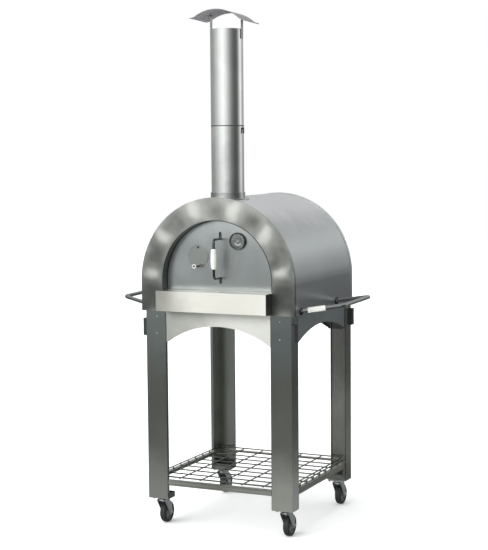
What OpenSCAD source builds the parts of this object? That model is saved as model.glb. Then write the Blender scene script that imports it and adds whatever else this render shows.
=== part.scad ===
// Wood fired pizza oven on a wheeled stand, in millimetres.
// Origin: floor level under the middle of the outline. +X right, +Y to the back, +Z up.

/* [Stand] */
// overall width over the legs
stand_w = 730; // [500:1:1000]
// y of the legs' front faces
stand_front = -350; // [-500:1:-200]
// y of the legs' rear faces
stand_back = 385; // [200:1:500]
// leg angle's flange across the front or rear
leg_wide = 102; // [40:1:150]
// leg angle's flange along the side
leg_deep = 76; // [40:1:150]
// height of the legs' lower ends
leg_bottom = 130; // [80:1:250]
// height of the legs' upper ends, under the oven
leg_top = 1012; // [700:1:1200]
// sheet thickness of legs and panels
sheet = 2; // [1:0.5:4]
// height of the ends of the front and rear arches
arch_end_front = 868; // [700:1:1000]
// height of the middle of the front and rear arches
arch_mid_front = 950; // [700:1:1000]
// height of the ends of the side arches
arch_end_side = 883; // [700:1:1000]
// height of the middle of the side arches
arch_mid_side = 945; // [700:1:1000]
// depth of the folded lip under each arch
arch_lip = 18; // [5:1:40]

/* [Log shelf] */
// top of the shelf rails
rail_top = 221; // [150:1:400]
// height of the shelf rails
rail_h = 25; // [10:1:50]
// height of the rear shelf rail
back_rail_h = 8; // [5:1:50]
// shelf wire radius
wire_r = 3; // [1:0.5:5]
// number of wires running front to back
wires_long = 7; // [2:1:12]
// number of wires running side to side
wires_cross = 9; // [2:1:14]
// spacing of the wires running front to back
long_step = 106; // [40:1:200]
// spacing of the wires running side to side
cross_step = 78; // [40:1:200]
// height of the raised rim wire above the rails
rim_rise = 14; // [8:1:60]

/* [Castors] */
// wheel radius
wheel_r = 50; // [25:1:80]
// tyre width
wheel_w = 30; // [15:1:50]
// distance of the wheel's axle behind the swivel axis
trail = 36; // [0:1:60]
// swivel axis in from the legs' outer side faces
castor_in_x = 50; // [20:1:90]
// swivel axis in from the legs' front or rear faces
castor_in_y = 48; // [20:1:90]

/* [Oven body] */
// outside radius of the front and rear plates' arch
body_r = 384; // [250:1:500]
// height of the arch's centre
arch_z = 1152; // [900:1:1400]
// y of the front plate's outer face
front_y = -356.5; // [-500:0.5:-200]
// y of the rear plate's outer face
rear_y = 356; // [200:0.5:500]
// radius of the door opening's arch
mouth_r = 274; // [150:1:350]
// height of the door opening's arch centre
mouth_z = 1158; // [900:1:1400]
// height of the brick floor and the shelf
floor_z = 1112; // [1000:1:1300]
// outside radius of the inner vault
vault_r = 320; // [200:1:360]
// height of the inner vault's arch centre
vault_z = 1132; // [900:1:1400]

/* [Front shelf] */
// shelf width
shelf_w = 549; // [300:1:700]
// y of the shelf's front face
shelf_y = -423.5; // [-600:0.5:-360]
// height of the shelf's folded front
shelf_h = 92; // [20:1:120]

/* [Door] */
// y of the door's outer face
door_y = -310; // [-350:1:-250]
// height of the handle's lower bar
handle_low = 1170; // [1120:1:1300]
// height of the handle's upper bar
handle_high = 1347; // [1200:1:1400]
// how far the handle stands off the door
handle_out = 68; // [30:1:100]
// thermometer's centre, x and z
gauge_x = 90; // [0:1:200]
gauge_z = 1338; // [1150:1:1400]
// thermometer's radius
gauge_r = 40; // [20:1:60]
// vent flap's centre, x and z
vent_x = -112; // [-200:1:0]
vent_z = 1266; // [1150:1:1400]
// vent flap's radius
vent_r = 51; // [20:1:80]

/* [Chimney] */
// y of the chimney's axis
flue_y = -224; // [-300:1:0]
// chimney outside radius
flue_r = 75; // [40:1:120]
// height of the joint between the two sections
flue_joint = 1857; // [1600:1:2100]
// height of the chimney's rim
flue_top = 2290; // [1700:1:2500]
// height of the rain cap's crown
cap_top = 2371; // [1750:1:2600]
// rain cap's length along y
cap_d = 168; // [150:1:400]
// how far the rain cap sits forward of the chimney's axis
cap_forward = 14; // [0:1:40]

/* [Side rails] */
// reach of the rail's outer bar from the middle, to its axis
rail_x = 559; // [450:1:700]
// rail tube radius
rail_r = 9; // [5:0.5:15]

/* [Hidden] */
$fn = 96;
gap = 0.3;                              // between faces of pieces that move apart
stand_half = stand_w / 2;
stand_mid = (stand_front + stand_back) / 2;
stand_d = stand_back - stand_front;
front_in = stand_front + sheet;         // inner face of the front leg flanges
back_in = stand_back - sheet;
skin = 1.5;                             // thin sheet
shell_r = body_r - 3;
door_r = mouth_r - 3;
plug_r = 246;                           // door's insulated plug
stop_r = 250;                           // clear opening behind the door
board_top = floor_z - 50;
stop_y = door_y + sheet + gap;          // front face of the frame that the door rests on
swivel_x = stand_half - castor_in_x;
swivel_front = stand_front + castor_in_y;
swivel_back = stand_back - castor_in_y;
plate_t = 3.5;                          // castor plate
crown_top = leg_bottom - 10;            // top of the castor fork's crown
crown_r = 25;
kingpin_r = 6;
axle_r = 5;
fork_in = wheel_w / 2 + 5;              // inner face of the fork's cheeks
run = 0.06;                             // radial clearance of a running fit
damper_z = flue_joint - 14;
spindle_r = 4;
pipe_t = 1.2;
gauge_out = 14;
vent_pivot_z = vent_z + 41;
vent_hole_r = 36;
knob_z = vent_z - 44;

// ---- helpers ----

// stands a 2-D outline (x, z) upright and fills it from y = y0 back to y = y1
module upright(y0, y1) {
  translate([0, y1, 0]) rotate([90, 0, 0]) linear_extrude(y1 - y0) children();
}

// stands a 2-D outline (y, z) upright and fills it from x = x0 to x = x1
module sideways(x0, x1) {
  translate([x0, 0, 0]) rotate([90, 0, 90]) linear_extrude(x1 - x0) children();
}

// doorway outline: half circle of radius r about height zc, on straight sides down to z0
module doorway(r, zc, z0) {
  intersection() {
    union() {
      translate([0, zc]) circle(r);
      translate([-r, z0 - 5]) square([2 * r, zc - z0 + 5]);
    }
    translate([-r - 1, z0]) square([2 * r + 2, zc + r - z0 + 1]);
  }
}

// arched sheet of thickness t, open at the bottom
module doorway_sheet(r, t, zc, z0, y0, y1) {
  upright(y0, y1) difference() {
    doorway(r, zc, z0);
    doorway(r - t, zc, z0 - 2);
  }
}

// cylinder along y from y0 to y1
module rod_y(r, y0, y1) {
  translate([0, y1, 0]) rotate([90, 0, 0]) cylinder(r = r, h = y1 - y0);
}

// cylinder along x from x0 to x1
module rod_x(r, x0, x1) {
  translate([x0, 0, 0]) rotate([0, 90, 0]) cylinder(r = r, h = x1 - x0);
}

// straight tube piece between two points
module rod_between(a, b, r) {
  d = b - a;
  len = norm(d);
  translate(a) rotate([0, acos(d[2] / len), atan2(d[1], d[0])]) cylinder(r = r, h = len);
}

module flue_bore(r, z0, z1) {
  translate([0, flue_y, z0]) cylinder(r = r, h = z1 - z0);
}

// places a castor piece at a corner: sx -1 left, 1 right; sy -1 front, 1 back
module at_corner(sx, sy) {
  translate([sx * swivel_x, sy < 0 ? swivel_front : swivel_back, 0]) children();
}

// ---- stand ----

module leg(sx, sy) {
  color("silver")
  translate([sx * stand_half, sy < 0 ? stand_front : stand_back, leg_bottom])
    mirror([sx > 0 ? 1 : 0, 0, 0]) mirror([0, sy > 0 ? 1 : 0, 0])
    linear_extrude(leg_top - leg_bottom) {
      square([leg_wide, sheet]);
      square([sheet, leg_deep]);
    }
}
module leg_front_left() { leg(-1, -1); }
module leg_front_right() { leg(1, -1); }
module leg_back_left() { leg(-1, 1); }
module leg_back_right() { leg(1, 1); }

// circle that an arch of half width half and given rise is cut by
function arch_radius(half, rise) = (half * half + rise * rise) / (2 * rise);

// 2-D panel with an arched lower edge
module apron_face(width, half, z_end, z_mid) {
  r = arch_radius(half, z_mid - z_end);
  difference() {
    translate([-width / 2, z_end]) square([width, leg_top - z_end]);
    translate([0, z_mid - r]) circle(r);
  }
}
// 2-D strip along that arch, for its folded lip
module apron_lip(half, z_end, z_mid) {
  r = arch_radius(half, z_mid - z_end);
  intersection() {
    difference() {
      translate([0, z_mid - r]) circle(r + skin);
      translate([0, z_mid - r]) circle(r);
    }
    translate([2 - half, z_end - 5]) square([2 * half - 4, z_mid - z_end + 10]);
  }
}
top_flange = 20;
front_apron_w = stand_w - 8;
side_apron_w = stand_d - 2 * sheet - 4;
side_flange_w = stand_d - 60;
// front apron against y = 0, its lip and top flange towards +y
module apron_across() {
  half = stand_half - leg_wide;
  upright(0, skin) apron_face(front_apron_w, half, arch_end_front, arch_mid_front);
  upright(0, arch_lip) apron_lip(half, arch_end_front, arch_mid_front);
  translate([-front_apron_w / 2, 0, leg_top - skin]) cube([front_apron_w, top_flange, skin]);
}
// left apron against x = 0, its lip and top flange towards +x
module apron_along() {
  half = stand_d / 2 - leg_deep;
  sideways(0, skin) apron_face(side_apron_w, half, arch_end_side, arch_mid_side);
  sideways(0, arch_lip) apron_lip(half, arch_end_side, arch_mid_side);
  translate([skin / 2, -side_flange_w / 2, leg_top - skin - 0.5])
    cube([top_flange, side_flange_w, skin]);
}
module apron_front() {
  color("gainsboro") translate([0, front_in, 0]) apron_across();
}
module apron_back() {
  color("gainsboro") translate([0, back_in, 0]) mirror([0, 1, 0]) apron_across();
}
module apron_left() {
  color("gainsboro") translate([sheet - stand_half, stand_mid, 0]) apron_along();
}
module apron_right() {
  color("gainsboro") mirror([1, 0, 0]) translate([sheet - stand_half, stand_mid, 0]) apron_along();
}

// upright channels on the legs' outer faces that a side shelf's tongues drop into
socket_out = 16;
socket_w = 30;
socket_z0 = 895;
socket_z1 = 975;
socket_wall = 3;
module shelf_sockets() {
  color("dimgray") for (sx = [-1, 1]) for (y0 = [stand_front, stand_back - socket_w])
    translate([sx * stand_half, y0, socket_z0]) mirror([sx < 0 ? 1 : 0, 0, 0])
    linear_extrude(socket_z1 - socket_z0) difference() {
      square([socket_out, socket_w]);
      translate([-1, socket_wall]) square([socket_out - socket_wall + 1, socket_w - 2 * socket_wall]);
    }
}

// folded pans in the legs' feet that the castors bolt to
pan_h = 26;
pan_d = leg_deep - sheet - 10;
module castor_pans() {
  color("darkgray") for (sx = [-1, 1]) for (sy = [-1, 1])
    translate([sx * (stand_half - sheet - 0.5), sy < 0 ? front_in + 0.5 : back_in - 0.5, leg_bottom])
    mirror([sx > 0 ? 1 : 0, 0, 0]) mirror([0, sy > 0 ? 1 : 0, 0])
    difference() {
      cube([leg_wide - sheet, pan_d, pan_h]);
      translate([sheet, sheet, sheet]) cube([leg_wide - 3 * sheet, pan_d - 2 * sheet, pan_h]);
    }
}

// button heads on the front and rear flanges
screw_x = stand_half - 56;
screw_rows = [905, 984];
module stand_screws() {
  color("white") for (x = [-screw_x, screw_x]) for (z = screw_rows) {
    translate([x, 0, z]) rod_y(5, stand_front - 2.5, stand_front);
    translate([x, 0, z]) rod_y(5, stand_back, stand_back + 2.5);
  }
}

// ---- log shelf ----

rail_in = stand_half - sheet;
module log_shelf_frame() {
  color("gray") {
    for (m = [0, 1]) translate([0, m * 2 * stand_mid, 0]) mirror([0, m, 0]) {
      h = m == 0 ? rail_h : back_rail_h;
      translate([-rail_in + 3, front_in, rail_top - h]) cube([2 * rail_in - 6, sheet, h]);
      translate([-rail_in + 3, front_in, rail_top - sheet]) cube([2 * rail_in - 6, 22, sheet]);
    }
    for (m = [0, 1]) mirror([m, 0, 0]) translate([rail_in, stand_mid, 0]) mirror([1, 0, 0]) {
      translate([0, -stand_d / 2 + 26, rail_top - rail_h]) cube([sheet, stand_d - 52, rail_h]);
      translate([0, -stand_d / 2 + 26, rail_top - sheet]) cube([22, stand_d - 52, sheet]);
    }
  }
}
grid_half_x = stand_half - 18;
grid_half_y = stand_d / 2 - 18;
cross_z = rail_top + wire_r;            // wires lying on the rails
long_z = cross_z + 2 * wire_r - 0.5;    // wires welded on top of them
long_rows = [for (i = [0:wires_long - 1]) (i - (wires_long - 1) / 2) * long_step];
cross_rows = [for (i = [0:wires_cross - 1]) (i - (wires_cross - 1) / 2) * cross_step + stand_mid];
module log_shelf_wires() {
  color("dimgray") {
    for (x = long_rows)
      translate([x, 0, long_z]) rod_y(wire_r, stand_mid - grid_half_y + 4, stand_mid + grid_half_y - 4);
    for (y = cross_rows)
      translate([0, y, cross_z]) rod_x(wire_r, -grid_half_x + 4, grid_half_x - 4);
  }
}
rim_z = rail_top + rim_rise;
module log_shelf_rim() {
  side_end = grid_half_y - 2 * wire_r - 0.5;
  color("dimgray") translate([0, stand_mid, 0]) {
    for (sy = [-1, 1]) {
      translate([0, sy * grid_half_y, rim_z]) rod_x(wire_r, -grid_half_x, grid_half_x);
      for (x = long_rows) translate([x, sy * grid_half_y, rail_top]) cylinder(r = wire_r, h = rim_rise);
    }
    for (sx = [-1, 1]) {
      translate([sx * grid_half_x, 0, rim_z]) rod_y(wire_r, -side_end, side_end);
      for (y = cross_rows)
        translate([sx * grid_half_x, y - stand_mid, rail_top]) cylinder(r = wire_r, h = rim_rise);
    }
  }
}

// ---- castors ----

module castor_plates() {
  color("silver") for (sx = [-1, 1]) for (sy = [-1, 1]) at_corner(sx, sy) {
    translate([-42, -36, leg_bottom - plate_t]) cube([84, 72, plate_t]);
    translate([0, 0, crown_top + 1]) cylinder(r = 22, h = leg_bottom - plate_t - crown_top - 0.9);
    translate([0, 0, crown_top - 12]) cylinder(r = kingpin_r, h = 14);
    translate([0, 0, crown_top - 16]) cylinder(r = 10, h = 6);
  }
}
module fork() {
  color("lightgray") {
    difference() {
      translate([0, 0, crown_top - 8]) cylinder(r = crown_r, h = 8);
      translate([0, 0, crown_top - 20]) cylinder(r = kingpin_r + run, h = 30);
    }
    for (m = [0, 1]) mirror([m, 0, 0]) {
      sideways(fork_in, fork_in + 3) {
        polygon([[-14, crown_top - 1], [14, crown_top - 1], [trail + 12, wheel_r + 2],
          [trail - 12, wheel_r - 4]]);
        translate([trail, wheel_r]) circle(13);
      }
      translate([0, trail, wheel_r]) rod_x(9, fork_in + 2.5, fork_in + 8);
    }
    translate([0, trail, wheel_r]) rod_x(axle_r, -fork_in - 2, fork_in + 2);
  }
}
module tyre() {
  color("black") translate([0, trail, wheel_r]) rotate([0, 90, 0]) rotate_extrude()
    polygon([[36, -wheel_w / 2], [wheel_r - 5, -wheel_w / 2], [wheel_r, -wheel_w / 2 + 6],
      [wheel_r, wheel_w / 2 - 6], [wheel_r - 5, wheel_w / 2], [36, wheel_w / 2]]);
}
module hub() {
  color("gray") translate([0, trail, wheel_r]) difference() {
    union() {
      rod_x(35.9, -11, 11);
      rod_x(14, -fork_in + 2, fork_in - 2);
    }
    rod_x(axle_r + run, -40, 40);
  }
}
module fork_front_left() { at_corner(-1, -1) fork(); }
module fork_front_right() { at_corner(1, -1) fork(); }
module fork_back_left() { at_corner(-1, 1) fork(); }
module fork_back_right() { at_corner(1, 1) fork(); }
module tyre_front_left() { at_corner(-1, -1) tyre(); }
module tyre_front_right() { at_corner(1, -1) tyre(); }
module tyre_back_left() { at_corner(-1, 1) tyre(); }
module tyre_back_right() { at_corner(1, 1) tyre(); }
module hub_front_left() { at_corner(-1, -1) hub(); }
module hub_front_right() { at_corner(1, -1) hub(); }
module hub_back_left() { at_corner(-1, 1) hub(); }
module hub_back_right() { at_corner(1, 1) hub(); }

// ---- oven body ----

pan_half = shell_r - sheet - 0.5;
pan_y0 = front_y + sheet + 1;
pan_y1 = rear_y - sheet - 1;
module base_pan() {
  color("darkgray") difference() {
    translate([-pan_half, pan_y0, leg_top]) cube([2 * pan_half, pan_y1 - pan_y0, 30]);
    translate([-pan_half + sheet, pan_y0 + sheet, leg_top + sheet])
      cube([2 * (pan_half - sheet), pan_y1 - pan_y0 - 2 * sheet, 40]);
  }
}
module insulation_board() {
  color("beige") translate([-pan_half + sheet + 0.5, pan_y0 + sheet + 0.5, leg_top + sheet])
    cube([2 * (pan_half - sheet - 0.5), pan_y1 - pan_y0 - 2 * sheet - 1, board_top - leg_top - sheet]);
}
brick_y0 = stop_y + 4;
brick_y1 = 297;
brick_half = vault_r - sheet - 1;
module floor_bricks() {
  joint = 1.5;
  bw = brick_half - joint / 2;
  bd = (brick_y1 - brick_y0 - joint) / 2;
  color("wheat") for (i = [0, 1]) for (j = [0, 1])
    translate([-brick_half + i * (bw + joint), brick_y0 + j * (bd + joint), board_top])
      cube([bw, bd, floor_z - board_top]);
}
vault_y0 = stop_y + sheet + 0.5;
vault_y1 = 300;
module inner_vault() {
  color("gray") difference() {
    union() {
      doorway_sheet(vault_r, sheet, vault_z, board_top, vault_y0, vault_y1);
      upright(vault_y1 - sheet, vault_y1) doorway(vault_r, vault_z, board_top);
    }
    flue_bore(flue_r + 0.3, vault_z + 100, vault_z + vault_r + 50);
  }
}
module insulation_blanket() {
  color("ivory") difference() {
    upright(vault_y0 + 1, rear_y - sheet - 1) doorway(shell_r - sheet - 2, arch_z, board_top + 0.5);
    upright(vault_y0 - 1, vault_y1 + 0.5) doorway(vault_r + 0.5, vault_z, board_top - 5);
    flue_bore(flue_r + 1, vault_z + 100, arch_z + shell_r + 50);
  }
}
module outer_shell() {
  color("silver") difference() {
    doorway_sheet(shell_r, sheet, arch_z, leg_top, front_y + sheet, rear_y - sheet);
    flue_bore(flue_r + 0.5, arch_z + 100, arch_z + shell_r + 50);
  }
}
// arched plate with a rolled rim over the shell's end
module end_plate(y_out, y_in, y_rim) {
  upright(min(y_out, y_in), max(y_out, y_in)) doorway(body_r, arch_z, leg_top);
  doorway_sheet(body_r, 2.5, arch_z, leg_top, min(y_in, y_rim), max(y_in, y_rim));
}
module front_fascia() {
  color("lightgray") difference() {
    end_plate(front_y, front_y + sheet, front_y + 16);
    upright(front_y - 1, front_y + sheet + 1) doorway(mouth_r, mouth_z, floor_z - sheet);
  }
}
module rear_panel() {
  color("silver") end_plate(rear_y, rear_y - sheet, rear_y - 16);
}
// reveal around the door, and the ring that the door rests against
module door_frame() {
  color("gray") {
    doorway_sheet(mouth_r + sheet, sheet, mouth_z, floor_z, front_y + sheet, stop_y + sheet);
    upright(stop_y, stop_y + sheet) difference() {
      doorway(mouth_r + 50, mouth_z, floor_z);
      doorway(stop_r, mouth_z, floor_z - 2);
    }
  }
}
module front_shelf() {
  back = stop_y - 1;
  tongue = mouth_r - 1.5;
  color("whitesmoke") {
    translate([-shelf_w / 2, shelf_y, floor_z - sheet]) cube([shelf_w, front_y - shelf_y - gap, sheet]);
    translate([-tongue, front_y - 2, floor_z - sheet]) cube([2 * tongue, back - front_y + 2, sheet]);
    translate([-shelf_w / 2, shelf_y, floor_z - shelf_h]) cube([shelf_w, sheet, shelf_h]);
    translate([-shelf_w / 2, shelf_y, floor_z - shelf_h]) cube([shelf_w, 15, sheet]);
    for (m = [0, 1]) mirror([m, 0, 0])
      translate([shelf_w / 2 - sheet, shelf_y, floor_z - shelf_h])
        cube([sheet, front_y - shelf_y - gap, shelf_h]);
  }
}

// ---- chimney ----

module flue_collar() {
  color("silver") difference() {
    union() {
      flue_bore(flue_r + 4, arch_z + shell_r - 40, arch_z + shell_r + 22);
      intersection() {
        flue_bore(flue_r + 22, arch_z + shell_r - 40, arch_z + shell_r + 22);
        translate([0, 0, arch_z]) rod_y(shell_r + 2.5, flue_y - 120, flue_y + 120);
      }
    }
    flue_bore(flue_r + 0.4, arch_z, flue_joint);
    translate([0, 0, arch_z]) rod_y(shell_r + 0.4, flue_y - 130, flue_y + 130);
  }
}
module lower_flue() {
  color("silver") difference() {
    translate([0, flue_y, 0]) rotate_extrude() {
      translate([flue_r - pipe_t, vault_z + 309]) square([pipe_t, flue_joint - vault_z - 309]);
      translate([flue_r - 2.4, flue_joint - 4]) square([2.4, 4]);
      translate([flue_r - 2.4, flue_joint - 4]) square([1, 34]);
    }
    translate([0, flue_y, damper_z]) rod_x(spindle_r + run, -flue_r - 5, flue_r + 5);
  }
}
module upper_flue() {
  color("silver") translate([0, flue_y, 0]) rotate_extrude()
    translate([flue_r - pipe_t, flue_joint + 0.4]) square([pipe_t, flue_top - flue_joint - 0.4]);
}
// butterfly plate, its spindle and the small lever outside the pipe; stored open
module damper() {
  lever_x = flue_r + 5;
  color("dimgray") translate([0, flue_y, damper_z]) {
    rod_y(flue_r - 6, -1, 1);
    rod_x(spindle_r, -flue_r - 3, lever_x + 2);
    translate([lever_x - 1, -5, -22]) cube([3, 10, 27]);
  }
}
// arched sheet with flared tips: an arc between two sloping ends
cap_arc_half = 108;
cap_sag = 36;
cap_arc_r = arch_radius(cap_arc_half, cap_sag);
cap_half = 134;
cap_drop = 46;
// lean of the cap towards the right and towards the back, degrees
cap_tilt = 4;
cap_pitch = 2;
// leans its children back, about a line above the chimney's axis
module leaned_back() {
  pivot = [0, flue_y, cap_top - cap_sag / 2];
  translate(pivot) rotate([-cap_pitch, 0, 0]) translate(-pivot) children();
}
module cap_outline(t, half) {
  intersection() {
    difference() {
      translate([0, cap_top - cap_arc_r]) circle(cap_arc_r);
      translate([0, cap_top - cap_arc_r]) circle(cap_arc_r - t);
    }
    translate([-half, cap_top - cap_sag - t]) square([2 * half, cap_sag + t]);
  }
}
module rain_cap() {
  z1 = cap_top - cap_sag;
  z2 = cap_top - cap_drop;
  color("silver") leaned_back()
  translate([0, 0, cap_top]) rotate([0, cap_tilt, 0]) translate([0, 0, -cap_top])
  upright(flue_y - cap_forward - cap_d / 2, flue_y - cap_forward + cap_d / 2) {
    cap_outline(skin, cap_arc_half);
    for (m = [0, 1]) mirror([m, 0])
      polygon([[cap_arc_half - 1, z1 + 0.5], [cap_half, z2], [cap_half, z2 - skin],
        [cap_arc_half - 2, z1 - skin]]);
  }
}
strap_x = flue_r + 0.05;
strap_w = 22;
// the centre of the cap's arc, as seen from the left or the right strap
function arc_centre(side) = [-side * cap_arc_r * sin(cap_tilt), cap_top - cap_arc_r * cos(cap_tilt)];
module cap_straps() {
  color("gray") for (side = [-1, 1]) mirror([side < 0 ? 1 : 0, 0, 0]) {
    z0 = flue_top - 45;
    intersection() {
      translate([strap_x, flue_y - strap_w / 2, z0]) cube([skin, strap_w, cap_top - z0]);
      leaned_back() upright(flue_y - strap_w, flue_y + strap_w)
        translate(arc_centre(side)) circle(cap_arc_r - 1.5 * skin);
    }
    leaned_back() upright(flue_y - strap_w / 2, flue_y + strap_w / 2) intersection() {
      translate(arc_centre(side)) difference() {
        circle(cap_arc_r - skin);
        circle(cap_arc_r - 2 * skin);
      }
      translate([strap_x, flue_top]) square([13.5, 100]);
    }
    translate([strap_x + skin, flue_y, flue_top - 20]) rod_x(4, -0.5, 2.5);
  }
}

// ---- side rails ----

rail_path = [[shell_r, -276, 1030], [rail_x, -203, 1055], [rail_x, 126, 1062], [shell_r, 152, 1034]];
module side_rail() {
  for (i = [0:2]) rod_between(rail_path[i], rail_path[i + 1], rail_r);
  for (i = [1, 2]) translate(rail_path[i]) sphere(rail_r + 0.3);
  for (i = [0, 3]) translate(rail_path[i]) rod_x(19, 0, 4);
}
// keeps only what stands outside the oven's side wall
module outside_wall() {
  difference() {
    children();
    translate([shell_r - 40, -400, 980]) cube([40, 800, 120]);
  }
}
module side_rail_right() {
  color("silver") outside_wall() side_rail();
}
module side_rail_left() {
  color("silver") mirror([1, 0, 0]) outside_wall() side_rail();
}
grip_from = 0.15;
grip_to = 0.56;
module rail_grip() {
  a = rail_path[0];
  d = rail_path[1] - rail_path[0];
  color("white") difference() {
    rod_between(a + d * grip_from, a + d * grip_to, rail_r + 3.5);
    rod_between(a, a + d, rail_r + 0.1);
  }
}

// ---- door ----

door_bottom = floor_z + 0.5;
panel_back = door_y + sheet;
liner_back = -270;
module vent_hole(r) {
  translate([vent_x, 0, vent_z]) rod_y(r, door_y - 5, liner_back + 5);
}
module gauge_hole(r) {
  translate([gauge_x, 0, gauge_z]) rod_y(r, door_y - 5, liner_back + 5);
}
module door_panel() {
  color("lightslategray") difference() {
    upright(door_y, panel_back) doorway(door_r, mouth_z, door_bottom);
    vent_hole(vent_hole_r);
    gauge_hole(4.5);
  }
}
module door_insulation() {
  color("ivory") difference() {
    upright(panel_back + 0.1, liner_back - skin - 0.2) doorway(plug_r - 2, mouth_z, door_bottom + 4);
    vent_hole(vent_hole_r + 2);
    gauge_hole(4.5);
  }
}
module door_liner() {
  color("gray") difference() {
    union() {
      doorway_sheet(plug_r, skin, mouth_z, door_bottom + 2, panel_back, liner_back);
      upright(liner_back - skin, liner_back) doorway(plug_r, mouth_z, door_bottom + 2);
      translate([-plug_r, panel_back, door_bottom + 2]) cube([2 * plug_r, liner_back - panel_back, skin]);
    }
    vent_hole(vent_hole_r);
    gauge_hole(4.5);
  }
}
handle_r = 5.5;
bend = 14;
handle_y = door_y - handle_out;
module handle_rod() {
  color("gray") {
    translate([0, handle_y, handle_low + bend])
      cylinder(r = handle_r, h = handle_high - handle_low - 2 * bend);
    for (z = [handle_low, handle_high]) translate([0, 0, z]) rod_y(handle_r, handle_y + bend, door_y);
    translate([0, handle_y + bend, handle_high - bend]) rotate([0, -90, 0])
      rotate([0, 0, -90]) rotate_extrude(angle = 90) translate([bend, 0]) circle(handle_r);
    translate([0, handle_y + bend, handle_low + bend]) rotate([0, -90, 0])
      rotate([0, 0, 180]) rotate_extrude(angle = 90) translate([bend, 0]) circle(handle_r);
    translate([-6, door_y - 3, handle_high - 6]) cube([12, 3, 38]);
    translate([-6, door_y - 3, handle_low - 28]) cube([12, 3, 34]);
  }
}
grip_len = 92;
grip_mid = (handle_low + handle_high) / 2 + 1;
grip_r = 15;
grip_end_r = 12;
module handle_grip() {
  color("white") translate([0, handle_y, grip_mid]) rotate_extrude()
    polygon([[handle_r + 0.1, -grip_len / 2], [grip_end_r, -grip_len / 2], [grip_r, -grip_len / 5],
      [grip_r, grip_len / 5], [grip_end_r, grip_len / 2], [handle_r + 0.1, grip_len / 2]]);
}
module at_gauge() { translate([gauge_x, door_y, gauge_z]) rotate([90, 0, 0]) children(); }
module thermometer_case() {
  color("gainsboro") at_gauge() {
    rotate_extrude() {
      square([gauge_r, 4]);
      translate([gauge_r - 4, 0]) square([4, gauge_out]);
    }
    translate([0, 0, -65]) cylinder(r = 3.5, h = 66);
  }
}
module thermometer_dial() {
  color("white") at_gauge() {
    translate([0, 0, 4.1]) cylinder(r = gauge_r - 4.4, h = 1.5);
    translate([0, 0, 5]) cylinder(r = 1.5, h = 4);
  }
}
module thermometer_needle() {
  color("red") at_gauge() difference() {
    union() {
      translate([0, 0, 6.6]) cylinder(r = 4, h = 1.6);
      rotate(135) translate([-1, -8, 6.8]) cube([2, 36, 1.2]);
    }
    translate([0, 0, 0]) cylinder(r = 1.5 + run, h = 20);
  }
}
module thermometer_lens() {
  color("lightcyan", 0.4) at_gauge() translate([0, 0, 10.5]) cylinder(r = gauge_r - 4.4, h = 1.8);
}
module at_vent() { translate([vent_x, door_y, vent_pivot_z]) rotate([90, 0, 0]) children(); }
module vent_rivet() {
  color("gray") at_vent() {
    translate([0, 0, 0]) cylinder(r = 3, h = 4);
    translate([0, 0, 3.4]) cylinder(r = 6, h = 2.4);
  }
}
module vent_flap() {
  color("silver") at_vent() difference() {
    translate([0, vent_z - vent_pivot_z, 0.7]) cylinder(r = vent_r, h = 2);
    cylinder(r = 3 + run, h = 10);
  }
}
module vent_knob() {
  color("silver") at_vent() translate([0, knob_z - vent_pivot_z, 2.7]) difference() {
    union() {
      cylinder(r = 4.5, h = 38);
      translate([0, 0, 34]) cylinder(r = 10, h = 10);
    }
    translate([0, 0, 40]) cylinder(r = 5.5, h = 6);
  }
}

leg_front_left();
leg_front_right();
leg_back_left();
leg_back_right();
apron_front();
apron_back();
apron_left();
apron_right();
shelf_sockets();
castor_pans();
stand_screws();
log_shelf_frame();
log_shelf_wires();
log_shelf_rim();
castor_plates();
base_pan();
insulation_board();
floor_bricks();
inner_vault();
insulation_blanket();
outer_shell();
front_fascia();
door_frame();
front_shelf();
rear_panel();
flue_collar();
lower_flue();
upper_flue();
rain_cap();
cap_straps();
damper();
side_rail_left();
side_rail_right();
rail_grip();
door_panel();
door_insulation();
door_liner();
handle_rod();
handle_grip();
thermometer_case();
thermometer_lens();
thermometer_dial();
thermometer_needle();
vent_rivet();
vent_flap();
vent_knob();
fork_front_left();
fork_front_right();
fork_back_left();
fork_back_right();
tyre_front_left();
tyre_front_right();
tyre_back_left();
tyre_back_right();
hub_front_left();
hub_front_right();
hub_back_left();
hub_back_right();
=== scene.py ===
"""Looks of the wood fired pizza oven: materials, detailed pieces, studio and camera."""
import math

import bpy
import bmesh
from mathutils import Matrix, Vector

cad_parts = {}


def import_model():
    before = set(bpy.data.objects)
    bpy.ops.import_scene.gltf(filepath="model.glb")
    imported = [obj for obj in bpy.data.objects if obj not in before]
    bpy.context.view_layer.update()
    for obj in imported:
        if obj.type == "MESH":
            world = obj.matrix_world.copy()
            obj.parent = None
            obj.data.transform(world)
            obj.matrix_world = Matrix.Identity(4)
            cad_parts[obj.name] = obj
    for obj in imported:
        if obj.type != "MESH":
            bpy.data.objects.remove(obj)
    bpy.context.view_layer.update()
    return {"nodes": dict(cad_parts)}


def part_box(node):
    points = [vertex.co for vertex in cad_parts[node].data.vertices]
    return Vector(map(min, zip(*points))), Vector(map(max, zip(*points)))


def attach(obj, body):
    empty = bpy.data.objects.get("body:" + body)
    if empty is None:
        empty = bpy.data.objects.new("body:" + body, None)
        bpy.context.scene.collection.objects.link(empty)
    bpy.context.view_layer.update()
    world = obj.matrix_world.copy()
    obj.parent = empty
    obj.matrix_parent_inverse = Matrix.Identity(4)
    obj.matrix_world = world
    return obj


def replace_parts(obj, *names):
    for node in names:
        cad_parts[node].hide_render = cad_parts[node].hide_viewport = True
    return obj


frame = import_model()
NODES = frame["nodes"]
CORNERS = ("front_left", "front_right", "back_left", "back_right")
MM = 0.001
FRONT = (0, -1, 0)
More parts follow.
